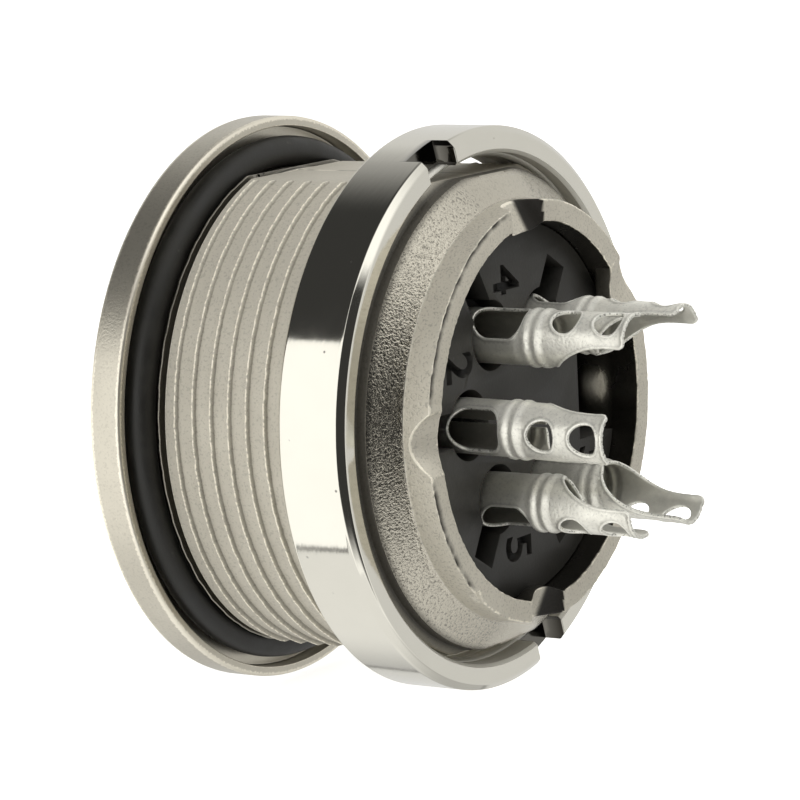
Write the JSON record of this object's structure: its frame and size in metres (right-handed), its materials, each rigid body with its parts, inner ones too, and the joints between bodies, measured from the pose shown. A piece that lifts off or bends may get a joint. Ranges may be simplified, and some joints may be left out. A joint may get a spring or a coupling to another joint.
{
  "type": "circular panel connector",
  "caption": "Nickel-plated circular panel receptacle seen from its solder side, with a slotted ring nut, a black sealing ring and bare solder-cup contacts.",
  "frame": {"origin": "On the connector's axis, in the plane of the flange's rear face, where the panel seats.", "axes": "+X runs along the axis to the solder side. +Z is the normal of one flat of the barrel. -Y is the side of the middle contact, and +Y the side of the polarising groove."},
  "size_m": [0.0171, 0.0206, 0.0206],
  "materials": {
    "satin_nickel": "satin nickel plating on a sandy casting",
    "seal_rubber": "matt black rubber",
    "bright_nickel": "bright nickel plating on turned brass",
    "insert_plastic": "dark grey moulded plastic, satin",
    "contact_tin": "satin tin plating on rolled brass sheet"
  },
  "bodies": {
    "connector": {"flange": "satin_nickel", "barrel": "satin_nickel", "collar": "satin_nickel", "panel_seal": "seal_rubber", "contact_post": "insert_plastic", "contact_insert": "insert_plastic", "contact_1": "contact_tin", "contact_2": "contact_tin", "contact_3": "contact_tin", "contact_4": "contact_tin", "contact_5": "contact_tin"},
    "nut": {"ring_nut": "bright_nickel"}
  },
  "joints": [
    {"name": "nut_travel", "type": "slide", "parent": "connector", "child": "nut", "axis": [1, 0, 0], "range_m": [-0.00525, 0.0105]}
  ]
}
